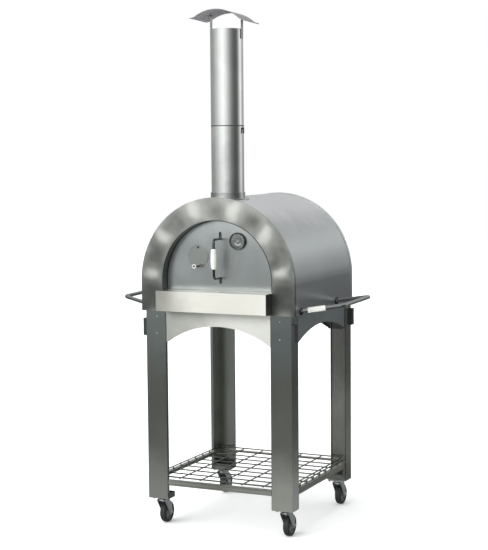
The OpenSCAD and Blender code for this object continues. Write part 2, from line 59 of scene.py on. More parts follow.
# turn a shape's local Z towards the front, or towards the right
FACE_FRONT = Matrix(((1, 0, 0, 0), (0, 0, -1, 0), (0, 1, 0, 0), (0, 0, 0, 1)))
FACE_RIGHT = Matrix(((0, 0, 1, 0), (1, 0, 0, 0), (0, 1, 0, 0), (0, 0, 0, 1)))


def mm(*points):
    """Points whose coordinates are given in millimetres."""
    return [tuple(c * MM for c in point) for point in points]


def middle(node):
    lo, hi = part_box(node)
    return (lo + hi) / 2


# ---- materials

def new_material(name):
    mat = bpy.data.materials.new(name)
    mat.use_nodes = True
    return mat, mat.node_tree, mat.node_tree.nodes["Principled BSDF"]


def set_inputs(node, values):
    for name, value in values.items():
        node.inputs[name].default_value = value


def object_coords(tree, scale):
    """Object coordinates stretched by scale, so that noise on them has the wanted grain."""
    coord = tree.nodes.new("ShaderNodeTexCoord")
    mapping = tree.nodes.new("ShaderNodeMapping")
    mapping.inputs["Scale"].default_value = scale
    tree.links.new(coord.outputs["Object"], mapping.inputs["Vector"])
    return mapping.outputs["Vector"]


def noise(tree, scale, detail=4.0, distortion=0.0):
    tex = tree.nodes.new("ShaderNodeTexNoise")
    set_inputs(tex, {"Scale": 1.0, "Detail": detail, "Distortion": distortion})
    tree.links.new(object_coords(tree, scale), tex.inputs["Vector"])
    return tex.outputs["Fac"]


def remap(tree, value, low, high, at_low=0.3, at_high=0.7):
    node = tree.nodes.new("ShaderNodeMapRange")
    node.interpolation_type = "SMOOTHSTEP"
    set_inputs(node, {"From Min": at_low, "From Max": at_high, "To Min": low, "To Max": high})
    tree.links.new(value, node.inputs["Value"])
    return node.outputs["Result"]


def math_node(tree, op, a, b):
    node = tree.nodes.new("ShaderNodeMath")
    node.operation = op
    for socket, value in zip(node.inputs, (a, b)):
        if isinstance(value, (int, float)):
            socket.default_value = value
        else:
            tree.links.new(value, socket)
    return node.outputs[0]


def maths(tree):
    """Math nodes of one tree, written as m(operation, a, b)."""
    return lambda op, a, b=0.0: math_node(tree, op, a, b)


def split_of(tree, vector):
    """The X, Y and Z of a vector."""
    split = tree.nodes.new("ShaderNodeSeparateXYZ")
    tree.links.new(vector, split.inputs[0])
    return split.outputs


def shades(colour, spread):
    """A darker and a lighter shade of the colour."""
    return tuple(c * (1 - spread) for c in colour), tuple(min(1, c * (1 + spread)) for c in colour)


def tint(tree, factor, dark, light):
    """A colour between dark and light by factor."""
    mix = tree.nodes.new("ShaderNodeMix")
    mix.data_type = "RGBA"
    mix.inputs[6].default_value = (*dark, 1)
    mix.inputs[7].default_value = (*light, 1)
    tree.links.new(factor, mix.inputs[0])
    return mix.outputs[2]


def add_bump(tree, shader, height, strength, distance):
    bump = tree.nodes.new("ShaderNodeBump")
    set_inputs(bump, {"Strength": strength, "Distance": distance})
    tree.links.new(height, bump.inputs["Height"])
    tree.links.new(bump.outputs["Normal"], shader.inputs["Normal"])


def times(tree, colour, factor):
    """The colour multiplied by a factor that changes over the surface."""
    mix = tree.nodes.new("ShaderNodeMix")
    mix.data_type = "RGBA"
    mix.blend_type = "MULTIPLY"
    mix.inputs[0].default_value = 1.0
    tree.links.new(colour, mix.inputs[6])
    tree.links.new(factor, mix.inputs[7])
    return mix.outputs[2]


CLOUD_REACH = 0.12      # metres by which clouds shift the edge of a painted light fade, from none to all


def painted_light_fade(tree, colour, axis, start, end, at_start, at_end):
    """Painted light and shade: the colour times at_start up to start along the axis, and times at_end
    from end on.
    """
    m = maths(tree)
    place = split_of(tree, tree.nodes.new("ShaderNodeTexCoord").outputs["Object"])[axis]
    cloud = m("MULTIPLY", noise(tree, (9, 9, 9), detail=2), CLOUD_REACH)
    reach = remap(tree, m("ADD", place, cloud), 0, 1,
                  start + CLOUD_REACH / 2, end + CLOUD_REACH / 2)
    ends = [(level,) * 3 if isinstance(level, (int, float)) else level for level in (at_start, at_end)]
    return times(tree, colour, tint(tree, reach, *ends))


def painted_light_by_facing(tree, colour, axis, level, side=0):
    """Painted light and shade: the colour times level on the faces that look along the axis, either way
    or to one side.
    """
    m = maths(tree)
    normal = tree.nodes.new("ShaderNodeNewGeometry").outputs["True Normal"]
    towards = split_of(tree, normal)[axis]
    turned = m("MULTIPLY", towards, side) if side else m("ABSOLUTE", towards)
    return times(tree, colour, remap(tree, turned, 1, level, 0.6, 0.9))


BRUSH_FINE = 900.0      # grooves per metre across the brushing, as noise scale
BRUSH_LONG = 6.0        # the same along it


def brushed_steel(name, colour, along="x", rough=0.3, aniso=0.6, spread=0.12, wave=0.005,
                  grain=0.07, fades=(), faces=()):
    """Brushed sheet: fine streaks, cloudy tone, slight waviness of thin sheet, and light and shade
    painted into the colour by place and by facing.
    """
    mat, tree, bsdf = new_material(name)
    m = maths(tree)
    brush = tuple(BRUSH_LONG if axis == along else BRUSH_FINE for axis in "xyz")
    streaks = noise(tree, brush, detail=3)
    clouds = noise(tree, (5, 5, 5), detail=3, distortion=0.6)
    tone = m("ADD", m("MULTIPLY", streaks, 0.3), m("MULTIPLY", clouds, 0.7))
    shade = tint(tree, remap(tree, tone, 0, 1, 0.35, 0.65), *shades(colour, spread))
    # painted light and shade: lighter or darker along an axis, then on faces that look one way
    for args in fades:
        shade = painted_light_fade(tree, shade, *args)
    for args in faces:
        shade = painted_light_by_facing(tree, shade, *args)
    tree.links.new(shade, bsdf.inputs["Base Color"])
    bsdf.inputs["Metallic"].default_value = 1.0
    tree.links.new(remap(tree, streaks, rough * (1 - grain), rough * (1 + grain), 0.2, 0.8),
              bsdf.inputs["Roughness"])
    bsdf.inputs["Anisotropic"].default_value = aniso
    tangent = tree.nodes.new("ShaderNodeTangent")
    tangent.direction_type = "RADIAL"
    tangent.axis = "Y" if along == "y" else "Z"
    bsdf.inputs["Anisotropic Rotation"].default_value = 0.25 if along == "x" else 0.0
    tree.links.new(tangent.outputs[0], bsdf.inputs["Tangent"])
    add_bump(tree, bsdf, noise(tree, (3.5, 3.5, 3.5), detail=1), 0.5, wave)
    return mat


def plain_metal(name, colour, rough, spread=0.08, grain=260.0):
    """Cast, plated or polished metal with faint mottling."""
    mat, tree, bsdf = new_material(name)
    mottle = noise(tree, (grain,) * 3, detail=4)
    tree.links.new(tint(tree, remap(tree, mottle, 0, 1), *shades(colour, spread)),
              bsdf.inputs["Base Color"])
    tree.links.new(remap(tree, mottle, rough * 0.8, rough * 1.25), bsdf.inputs["Roughness"])
    bsdf.inputs["Metallic"].default_value = 1.0
    return mat


def dull(name, colour, rough, spread=0.08, grain=300.0, bump=0.2, depth=0.0003):
    """Non-metal: rubber, brick, fibre, paint."""
    mat, tree, bsdf = new_material(name)
    mottle = noise(tree, (grain,) * 3, detail=6)
    tree.links.new(tint(tree, remap(tree, mottle, 0, 1), *shades(colour, spread)),
              bsdf.inputs["Base Color"])
    tree.links.new(remap(tree, mottle, rough * 0.9, min(1, rough * 1.1)),
              bsdf.inputs["Roughness"])
    add_bump(tree, bsdf, mottle, bump, depth)
    return mat


PATCH_TURNS = 10.9      # painted reflection patches along the arch: radians of wave per radian of arch
PATCH_START = 0.26      # angle of the first one right of the top
PATCH_LIGHT, PATCH_GAP, PATCH_CLOUD = 0.44, 0.16, 0.45      # how much the painted reflection patches, the painted dark gaps between them and the clouds show
PLATE_TONE = 0.50       # tone between patches at the top
ARCH_PAINTED_SHADE = 0.25        # painted shade: what the tone loses down to the arch's springing
FOOT_PAINTED_SHADE = 2.0         # painted shade: what it loses per metre below that
PLATE_WIDTH = 110 * MM  # of the band round the mouth


def fascia_steel_painted_light():
    """Front plate: painted reflections as soft light patches mid-band round the arch, and painted shade
    as the tone falls off downwards.
    """
    mat, tree, bsdf = new_material("fascia_steel_painted_light")
    m = maths(tree)
    lo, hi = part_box("front_fascia")
    outer = (hi.x - lo.x) / 2
    mean = outer - PLATE_WIDTH / 2
    place = split_of(tree, tree.nodes.new("ShaderNodeTexCoord").outputs["Object"])
    x = place["X"]
    z = m("SUBTRACT", place["Z"], hi.z - outer)
    above, below = m("MAXIMUM", z, 0.0), m("MAXIMUM", m("MULTIPLY", z, -1.0), 0.0)
    drop = m("MULTIPLY", m("SIGN", x), m("DIVIDE", below, mean))
    along = m("ADD", m("ARCTAN2", x, above), drop)
    radius = m("SQRT", m("ADD", m("MULTIPLY", x, x), m("MULTIPLY", above, above)))
    warp = m("MULTIPLY", m("SUBTRACT", noise(tree, (6, 6, 6), detail=1), 0.5), 2.6)
    shift = m("MULTIPLY", m("SUBTRACT", noise(tree, (9, 9, 9), detail=1), 0.5), 1.6)
    u = m("ADD", m("DIVIDE", m("SUBTRACT", radius, mean), PLATE_WIDTH / 2), shift)
    band = m("MAXIMUM", m("SUBTRACT", 1.0, m("MULTIPLY", u, u)), 0.0)
    wave = m("COSINE", m("ADD", m("MULTIPLY", m("SUBTRACT", along, PATCH_START), PATCH_TURNS), warp))
    blotch = m("SUBTRACT", noise(tree, (11, 11, 11), detail=2), 0.5)
    down = m("SUBTRACT", 1.0, m("DIVIDE", above, outer))
    # painted reflections: light patches on the wave's crests, painted dark gaps in its troughs
    crest = m("MAXIMUM", wave, 0.0)
    painted_reflections = m("MULTIPLY", m("MULTIPLY", crest, crest), PATCH_LIGHT)
    painted_dark_gaps = m("MULTIPLY", m("MINIMUM", wave, 0.0), PATCH_GAP)
    tone = m("ADD", m("MULTIPLY", m("ADD", painted_reflections, painted_dark_gaps), band), m("MULTIPLY", blotch, PATCH_CLOUD))
    tone = m("ADD", tone, PLATE_TONE)
    # painted shade: darker down the arch and below it
    tone = m("SUBTRACT", tone, m("MULTIPLY", down, ARCH_PAINTED_SHADE))
    tone = m("SUBTRACT", tone, m("MULTIPLY", below, FOOT_PAINTED_SHADE))
    factor = remap(tree, tone, 0, 1, 0.0, 1.0)
    tree.links.new(tint(tree, factor, (0.125, 0.13, 0.12), (0.90, 0.90, 0.85)),
              bsdf.inputs["Base Color"])
    bsdf.inputs["Metallic"].default_value = 1.0
    tree.links.new(remap(tree, noise(tree, (500, 500, 500), detail=2), 0.32, 0.44),
              bsdf.inputs["Roughness"])
    add_bump(tree, bsdf, noise(tree, (6, 6, 6), detail=1), 0.5, 0.004)
    return mat


def glass(name):
    mat, tree, bsdf = new_material(name)
    set_inputs(bsdf, {"Base Color": (0.95, 0.98, 0.98, 1), "Transmission Weight": 1.0, "IOR": 1.45})
    smear = noise(tree, (120, 120, 120), detail=2)
    tree.links.new(remap(tree, smear, 0.02, 0.07), bsdf.inputs["Roughness"])
    return mat


# painted light and shade, by place: fades as axis, start, end and the factors there; by facing: faces
# as axis, factor and side
# painted light on the legs: lighter low down and towards the top, the back right one darker at its very
# foot
LEG_PAINTED_LIGHT = (("Z", 0.20, 0.44, 2.15, 1.0), ("Z", 0.66, 0.94, 1.0, (1.08, 1.2, 1.3)))
LEFT_LEG_PAINTED_LIGHT = (("Z", 0.22, 0.42, 1.55, 1.0), ("Z", 0.66, 0.94, 1.0, (1.38, 1.5, 1.6)))
BACK_LEG_PAINTED_LIGHT = (("Z", 0.45, 0.72, 1.65, 1.0), ("Z", 0.17, 0.3, 0.5, 1.0))
# painted light on the barrel's top, on the door's top and left edge, and on the lower pipe's left side,
# with painted shade on its right
SHELL_PAINTED_LIGHT = (("Z", 1.36, 1.5, 1.0, (1.5, 1.41, 1.42)), ("Z", 1.12, 1.30, 1.08, 1.0))
DOOR_PAINTED_LIGHT = (("Z", 1.30, 1.43, 1.0, 1.45), ("X", -0.24, -0.1, 1.12, 1.0))
PIPE_PAINTED_LIGHT = (("X", -0.075, -0.02, 1.18, 1.0), ("X", 0.0, 0.05, 1.0, 0.86))
MAT = {
    # painted light and shade: the four leg steels are lit and shaded copies of one steel; the back
    # right one is the shaded copy, and the side faces of all but the front left leg are painted lighter
    "leg": brushed_steel("leg_steel", (0.275, 0.28, 0.255), along="z", rough=0.25, aniso=0.4,
                         spread=0.05, fades=LEG_PAINTED_LIGHT, faces=(("X", 1.9),)),
    "leg_left": brushed_steel("left_leg_steel", (0.285, 0.29, 0.265), along="z", rough=0.25,
                              aniso=0.4, spread=0.05, fades=LEFT_LEG_PAINTED_LIGHT),
    "leg_inside": brushed_steel("back_left_leg_steel_lit", (0.335, 0.35, 0.32), along="z", rough=0.3,
                                aniso=0.4, spread=0.06, faces=(("X", 1.9),)),
    "leg_back": brushed_steel("back_right_leg_steel_shaded", (0.245, 0.247, 0.227), along="z", rough=0.3,
                              aniso=0.4, spread=0.1, fades=BACK_LEG_PAINTED_LIGHT, faces=(("X", 1.9),)),
    "leg_side": brushed_steel("rail_steel", (0.33, 0.335, 0.30), along="y", rough=0.4),
    # painted shade: the front apron darkens towards its left end
    "apron": brushed_steel("apron_steel", (0.86, 0.855, 0.80), along="x", rough=0.42, aniso=0.7,
                           spread=0.08, fades=(("X", -0.3, 0.1, 0.56, 1.0),)),
    # painted shadow: the back apron's inner, forward-looking face is darkened to 0.13
    "apron_back": brushed_steel("back_apron_steel", (0.84, 0.84, 0.80), along="x", rough=0.42,
                                aniso=0.7, faces=(("Y", 0.13, -1),)),
    # painted shade: the side aprons are a dark copy of the apron steel
    "apron_side": brushed_steel("apron_side_steel_shaded", (0.30, 0.33, 0.34), along="y", rough=0.38,
                                spread=0.06),
    # painted shade: the shelf darkens towards its left end, on its ends and on its top and underside
    "shelf": brushed_steel("shelf_steel", (0.92, 0.895, 0.83), along="x", rough=0.42, aniso=0.8,
                           spread=0.04, fades=(("X", -0.28, -0.08, 0.42, 1.0),),
                           faces=(("X", 0.29), ("Z", 0.75))),
    # painted light: the barrel is lighter towards its top and a little lighter low down
    "shell": brushed_steel("shell_steel", (0.50, 0.515, 0.53), along="y", rough=0.28, aniso=0.4,
                           spread=0.02, wave=0.004, grain=0.02, fades=SHELL_PAINTED_LIGHT),
    "fascia": fascia_steel_painted_light(),
    "rear": brushed_steel("rear_steel", (0.62, 0.63, 0.62), along="z", rough=0.4),
    # painted light: the door is lighter at its top and towards its left edge
    "door": brushed_steel("door_steel", (0.495, 0.523, 0.523), along="z", rough=0.30, aniso=0.5,
                          spread=0.07, fades=DOOR_PAINTED_LIGHT),
    "vent": brushed_steel("vent_steel", (0.445, 0.465, 0.45), along="z", rough=0.3, aniso=0.5,
                          spread=0.07),
    # painted shade: near-black steel for the shade inside the door's recess
    "painted_shade_reveal": brushed_steel("reveal_steel_shaded", (0.16, 0.17, 0.165), along="y", rough=0.45),
    "pipe": brushed_steel("pipe_steel", (0.78, 0.78, 0.77), along="z", rough=0.20, aniso=0.55,
                          spread=0.05),
    # painted light: a lit copy of the pipe steel, lighter on its left side and darker on its right
    "pipe_low": brushed_steel("lower_pipe_steel_lit", (0.84, 0.845, 0.83), along="z", rough=0.22,
                              aniso=0.55, spread=0.06, fades=PIPE_PAINTED_LIGHT),
    "collar": brushed_steel("collar_steel", (0.52, 0.525, 0.52), along="x", rough=0.3, aniso=0.4),
    "cap": dull("cap_steel", (0.235, 0.225, 0.24), 0.45, spread=0.05, grain=40, bump=0.05),
    "vault": plain_metal("sooted_steel", (0.09, 0.085, 0.08), 0.6, spread=0.4, grain=30),
    "hidden": plain_metal("galvanised_steel", (0.45, 0.46, 0.46), 0.5, spread=0.15, grain=40),
    "pan": plain_metal("castor_pan_steel", (0.2, 0.205, 0.19), 0.45, spread=0.1, grain=40),
    "wire": plain_metal("wire_steel", (0.13, 0.13, 0.12), 0.4),
    "socket": plain_metal("socket_steel", (0.085, 0.09, 0.09), 0.5),
    "strap": plain_metal("strap_steel", (0.42, 0.42, 0.43), 0.35),
    "screw": plain_metal("screw_steel", (0.46, 0.47, 0.46), 0.2, spread=0.05),
    "bezel": plain_metal("dark_bezel", (0.11, 0.115, 0.11), 0.2, spread=0.15),
    "rod": plain_metal("handle_steel", (0.12, 0.125, 0.12), 0.2, spread=0.1),
    "rail": plain_metal("side_rail_steel", (0.31, 0.315, 0.32), 0.25, spread=0.06),
    "zinc": plain_metal("zinc_plate", (0.62, 0.66, 0.65), 0.35, spread=0.12, grain=120),
    "tyre": dull("tyre_rubber", (0.018, 0.019, 0.022), 0.55, grain=500),
    "wheel": dull("wheel_centre", (0.16, 0.18, 0.18), 0.4, grain=200),
    "grip": dull("white_grip", (0.62, 0.62, 0.59), 0.25, spread=0.02, grain=60, bump=0.02),
    "fibre": dull("ceramic_fibre", (0.7, 0.68, 0.62), 0.95, grain=220, bump=0.6, depth=0.002),
    "brick": dull("fire_brick", (0.52, 0.42, 0.3), 0.9, spread=0.25, grain=90, bump=0.5, depth=0.001),
    "dial": dull("dial_paint", (0.09, 0.095, 0.09), 0.35, spread=0.35, grain=70, bump=0.02),
    # painted shadow: near-black for the shade in the pipe joint and along the doorway's edge
    "painted_shadow": dull("painted_shadow_black", (0.035, 0.036, 0.035), 0.6),
    "marks": dull("dial_marks", (0.5, 0.51, 0.48), 0.4, bump=0.02),
    "needle": dull("needle_paint", (0.42, 0.43, 0.4), 0.35, bump=0.02),
    "glass": glass("dial_glass"),
}


def paint(obj, key):
    obj.data.materials.clear()
    obj.data.materials.append(MAT[key])


# ---- mesh helpers

def finish_mesh(name, bm, key, body, smooth=True, angle=35):
    """Turns a bmesh into a piece with its material, riding on a body."""
    bmesh.ops.recalc_face_normals(bm, faces=bm.faces)
    mesh = bpy.data.meshes.new(name)
    bm.to_mesh(mesh)
    bm.free()
    obj = bpy.data.objects.new(name, mesh)
    bpy.context.scene.collection.objects.link(obj)
    mesh.materials.append(MAT[key])
    for poly in mesh.polygons:
        poly.use_smooth = smooth
    if smooth:
        mesh.set_sharp_from_angle(angle=math.radians(angle))
    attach(obj, body)
    return obj


def frame_along(axis):
    """Rotation that turns +Z into axis."""
    return Vector((0, 0, 1)).rotation_difference(Vector(axis)).to_matrix().to_4x4()


def lathe(bm, profile, centre, axis=(0, 0, 1), segments=48, closed=True):
    """Adds the surface swept by (radius, height) points turned about axis through centre."""
    place = Matrix.Translation(centre) @ frame_along(axis)
    rings = []
    for r, h in profile:
        if r < 1e-6:
            rings.append([bm.verts.new(place @ Vector((0, 0, h)))])
            continue
        ring = []
        for i in range(segments):
            a = 2 * math.pi * i / segments
            ring.append(bm.verts.new(place @ Vector((r * math.cos(a), r * math.sin(a), h))))
        rings.append(ring)
    pairs = list(zip(rings, rings[1:]))
    if closed and len(rings[0]) > 1 and len(rings[-1]) > 1:
        pairs.append((rings[-1], rings[0]))
    for low, high in pairs:
        for i in range(segments):
            j = (i + 1) % segments
            quad = [low[i % len(low)], low[j % len(low)], high[j % len(high)], high[i % len(high)]]
            corners = list(dict.fromkeys(quad))
            if len(corners) > 2:
                bm.faces.new(corners)


def rounded_path(points, bend, steps=8):
    """The polyline through points with each inner corner turned into an arc of radius bend."""
    pts = [Vector(p) for p in points]
    path = [pts[0]]
    for before, corner, after in zip(pts, pts[1:], pts[2:]):
        a, b = (before - corner).normalized(), (after - corner).normalized()
        half = a.angle(b) / 2
        reach = bend / math.tan(half)
        centre = corner + (a + b).normalized() * (bend / math.sin(half))
        start, end = corner + a * reach - centre, corner + b * reach - centre
        total = start.angle(end)
        normal = start.cross(end).normalized()
        for i in range(steps + 1):
            turn = Matrix.Rotation(total * i / steps, 3, normal)
            path.append(centre + turn @ start)
    return path + [pts[-1]]


def tube(bm, path, radius, segments=16):
    """Adds a round tube along path, with flat ends."""
    tangents = [(b - a).normalized() for a, b in zip(path, path[1:])]
    tangents = [tangents[0]] + [(a + b).normalized() for a, b in zip(tangents, tangents[1:])] \
        + [tangents[-1]]
    side = tangents[0].orthogonal().normalized()
    rings = []
    for i, (p, t) in enumerate(zip(path, tangents)):
        if i:
            side = tangents[i - 1].rotation_difference(t) @ side
        other = t.cross(side).normalized()
        ring = []
        for k in range(segments):
            a = 2 * math.pi * k / segments
            ring.append(bm.verts.new(p + (side * math.cos(a) + other * math.sin(a)) * radius))
        rings.append(ring)
    for low, high in zip(rings, rings[1:]):
        for k in range(segments):
            j = (k + 1) % segments
            bm.faces.new((low[k], low[j], high[j], high[k]))
    bm.faces.new(list(reversed(rings[0])))
    bm.faces.new(rings[-1])


def slab(bm, outline, thickness, place):
    """Adds a plate: outline (x, y) points in place's XY plane, thickened along its +Z."""
    low = [bm.verts.new(place @ Vector((x, y, 0))) for x, y in outline]
    high = [bm.verts.new(place @ Vector((x, y, thickness))) for x, y in outline]
    bm.faces.new(list(reversed(low)))
    bm.faces.new(high)
    for i in range(len(low)):
        j = (i + 1) % len(low)
        bm.faces.new((low[i], low[j], high[j], high[i]))


def arc(cx, cy, r, a0, a1, steps):
    return [(cx + r * math.cos(math.radians(a0 + (a1 - a0) * i / steps)),
             cy + r * math.sin(math.radians(a0 + (a1 - a0) * i / steps)))
            for i in range(steps + 1)]


def bent_sheet(bm, centreline, thickness, y0, y1):
    """Adds a sheet whose section in XZ is centreline, from y0 to y1, thickened downwards."""
    pts = [Vector((x, 0, z)) for x, z in centreline]
    sides = []
    for i, p in enumerate(pts):
        before, after = pts[max(i - 1, 0)], pts[min(i + 1, len(pts) - 1)]
        d = (after - before).normalized()
        sides.append((p, p - Vector((-d.z, 0, d.x)) * thickness))
    rows = []
    for y in (y0, y1):
        shift = Vector((0, y, 0))
        rows.append([(bm.verts.new(a + shift), bm.verts.new(b + shift)) for a, b in sides])
    for i in range(len(pts) - 1):
        (a, b), (c, d) = rows[0][i], rows[0][i + 1]
        (e, f), (g, h) = rows[1][i], rows[1][i + 1]
        for quad in ((a, c, g, e), (b, f, h, d), (a, b, d, c), (e, g, h, f)):
            bm.faces.new(quad)
    for i in (0, -1):
        (a, b), (e, f) = rows[0][i], rows[1][i]
        bm.faces.new((a, e, f, b))


def bevel(obj, width, segments=2, angle=30):
    mod = obj.modifiers.new("edge", "BEVEL")
    mod.width = width
    mod.segments = segments
    mod.limit_method = "ANGLE"
    mod.angle_limit = math.radians(angle)
    mod.harden_normals = False
    return obj


# ---- CAD nodes that stay

# each leg's lit or shaded copy of the leg steel
LEG_LOOKS = {"front_left": "leg_left", "front_right": "leg", "back_left": "leg_inside",
             "back_right": "leg_back"}
CAD_LOOKS = {
    "apron": ["apron_front"],
    "apron_back": ["apron_back"],
    "apron_side": ["apron_left", "apron_right"],
    "socket": ["shelf_sockets", "damper"],
    "pan": ["castor_pans"],
    "hidden": ["base_pan", "door_liner"],
    "leg_side": ["log_shelf_frame"],
    "vault": ["inner_vault"],
    "fibre": ["insulation_board", "insulation_blanket", "door_insulation"],
    "brick": ["floor_bricks"],
    "shell": ["outer_shell"],
    "fascia": ["front_fascia"],
    "rear": ["rear_panel"],
    "painted_shade_reveal": ["door_frame"],
    "shelf": ["front_shelf"],
    "door": ["door_panel"],
    "collar": ["flue_collar"],
}
for look, names in CAD_LOOKS.items():
    for cad_name in names:
        paint(NODES[cad_name], look)
for leg_corner, look in LEG_LOOKS.items():
    paint(NODES[f"leg_{leg_corner}"], look)


# ---- folded edges of the legs

def leg_lips(corner):
    """Narrow folded edges along both open sides of the leg's angle."""
    lo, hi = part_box(f"leg_{corner}")
    width, t, inset = 14 * MM, 1.2 * MM, 10 * MM
    right, back = "right" in corner, "back" in corner
    outer_x, open_x = (hi.x, lo.x) if right else (lo.x, hi.x)
    outer_y, open_y = (hi.y, lo.y) if back else (lo.y, hi.y)
    bm = bmesh.new()
    for xs, ys in (((outer_x, outer_x + math.copysign(width, open_x - outer_x)),
                    (open_y, open_y + math.copysign(t, outer_y - open_y))),
                   ((open_x, open_x + math.copysign(t, outer_x - open_x)),
                    (outer_y, outer_y + math.copysign(width, open_y - outer_y)))):
        outline = [(min(xs), min(ys)), (max(xs), min(ys)), (max(xs), max(ys)), (min(xs), max(ys))]
        slab(bm, outline, hi.z - lo.z - 2 * inset, Matrix.Translation((0, 0, lo.z + inset)))
    finish_mesh(f"leg_lips_{corner}", bm, LEG_LOOKS[corner], "oven", smooth=False)


for leg_corner in CORNERS:
    leg_lips(leg_corner)


# ---- castors

def hex_nut(bm, centre, axis, across, height):
    place = Matrix.Translation(centre) @ frame_along(axis)
    r = across / 2 / math.cos(math.radians(30))
    slab(bm, arc(0, 0, r, 0, 300, 5), height, place)
    lathe(bm, [(across * 0.27, height), (across * 0.24, height + across * 0.12),
               (0, height + across * 0.12)], centre, axis, 16, closed=False)


def castor(corner):
    tyre_lo, tyre_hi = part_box(f"tyre_{corner}")
    axle = (tyre_lo + tyre_hi) / 2
    wheel_r, half_w = (tyre_hi.z - tyre_lo.z) / 2, (tyre_hi.x - tyre_lo.x) / 2
    fork_lo, fork_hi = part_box(f"fork_{corner}")
    crown_r = 25 * MM
    pivot = Vector((axle.x, fork_lo.y + crown_r, fork_hi.z))
    wheel, swivel = f"wheel_{corner}", f"castor_{corner}"

    bm = bmesh.new()
    core_r, shoulder = 36.2 * MM, 9 * MM
    profile = [(core_r, -half_w)] + \
        [(wheel_r - shoulder + x, -half_w + shoulder + y)
         for x, y in arc(0, 0, shoulder, -90, -10, 7)] + \
        [(wheel_r - 0.4 * MM, -2 * MM), (wheel_r - 1.4 * MM, 0), (wheel_r - 0.4 * MM, 2 * MM)] + \
        [(wheel_r - shoulder + x, half_w - shoulder + y)
         for x, y in arc(0, 0, shoulder, 10, 90, 7)] + [(core_r, half_w)]
    lathe(bm, profile, axle, (1, 0, 0), 64)
    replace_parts(finish_mesh(f"tyre_round_{corner}", bm, "tyre", wheel, angle=50),
                f"tyre_{corner}")

    bm = bmesh.new()
    rim, web, boss = 11 * MM, 4 * MM, 17.5 * MM
    bore = 5.2 * MM
    lathe(bm, [(bore, -boss), (12 * MM, -boss), (13 * MM, -boss + MM), (13.5 * MM, -web),
               (30 * MM, -web), (31 * MM, -rim), (35.8 * MM, -rim), (35.8 * MM, rim),
               (31 * MM, rim), (30 * MM, web), (13.5 * MM, web), (13 * MM, boss - MM),
               (12 * MM, boss), (bore, boss)], axle, (1, 0, 0), 64)
    for side in (-1, 1):
        for k in range(6):
            turn = Matrix.Rotation(math.radians(60 * k), 4, "X")
            place = Matrix.Translation(axle) @ turn @ Matrix.Translation(
                (side * (web + 2 * MM) - 2.5 * MM, -1.5 * MM, 12 * MM)) @ Matrix.Rotation(
                math.radians(90), 4, "Y") @ Matrix.Rotation(math.radians(90), 4, "Z")
            slab(bm, mm((0, 0), (3, 0), (3, -19), (0, -19)), 5 * MM, place)
    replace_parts(finish_mesh(f"wheel_centre_{corner}", bm, "wheel", wheel),
                f"hub_{corner}")

    bm = bmesh.new()
    cheek_in = half_w + 5 * MM
    t = 2.6 * MM
    drop = pivot.z - axle.z
    trail = axle.y - pivot.y
    lathe(bm, mm((6.3, 0), (21, 0), (24.4, -2.5), (25, -6), (24.6, -8), (6.3, -8)), pivot)
    outline = mm((-21, -2), (-22, -9), (-13, -22)) + \
        [(trail + x, -drop + y) for x, y in arc(0, 0, 13 * MM, 190, 370, 12)] + \
        [(trail + 7 * MM, -30 * MM), (24 * MM, -10 * MM), (21 * MM, -2 * MM)]
    for side in (-1, 1):
        x0 = side * cheek_in if side > 0 else -cheek_in - t
        slab(bm, outline, t, Matrix.Translation(pivot + Vector((x0, 0, 0))) @ FACE_RIGHT)
        hex_nut(bm, axle + Vector((side * (cheek_in + t), 0, 0)), (side, 0, 0), 13 * MM, 5 * MM)
    tube(bm, [axle - Vector((cheek_in + t, 0, 0)), axle + Vector((cheek_in + t, 0, 0))], 4.9 * MM)
    fork = finish_mesh(f"pressed_fork_{corner}", bm, "zinc", swivel)
    bevel(fork, 0.8 * MM)
    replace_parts(fork, f"fork_{corner}")
    return pivot


def castor_mounts(pivots):
    """The four top plates: rounded corners, ball race, kingpin and bolts."""
    plate_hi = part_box("castor_plates")[1].z
    bm = bmesh.new()
    half_x, half_y, corner_r, t = 42 * MM, 36 * MM, 8 * MM, 3.4 * MM
    outline = []
    for sx, sy, a in ((1, 1, 0), (-1, 1, 90), (-1, -1, 180), (1, -1, 270)):
        outline += arc(sx * (half_x - corner_r), sy * (half_y - corner_r), corner_r, a, a + 90, 5)
    for pivot in pivots:
        top = Vector((pivot.x, pivot.y, plate_hi - t))
        slab(bm, outline, t, Matrix.Translation(top))
        race = top.z - pivot.z
        lathe(bm, [(0, 0), (20 * MM, 0), (22 * MM, -1.5 * MM), (22 * MM, -race + 2.4 * MM),
                   (19 * MM, -race + 1.2 * MM), (5.8 * MM, -race + 1.2 * MM), (5.8 * MM, -20 * MM),
                   (9.5 * MM, -20 * MM), (9.5 * MM, -22 * MM), (6 * MM, -23 * MM), (0, -23 * MM)],
              top, segments=40, closed=False)
        for sx in (-1, 1):
            for sy in (-1, 1):
                spot = top + Vector((sx * 33 * MM, sy * 27 * MM, 0))
                hex_nut(bm, spot, (0, 0, -1), 10 * MM, 4 * MM)
    plates = finish_mesh("castor_top_plates", bm, "zinc", "oven")
    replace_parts(plates, "castor_plates")


castor_mounts([castor(c) for c in CORNERS])


# ---- log shelf

WIRES_LONG, LONG_STEP = 7, 106 * MM         # wires running front to back
WIRES_CROSS, CROSS_STEP = 9, 78 * MM        # wires running side to side


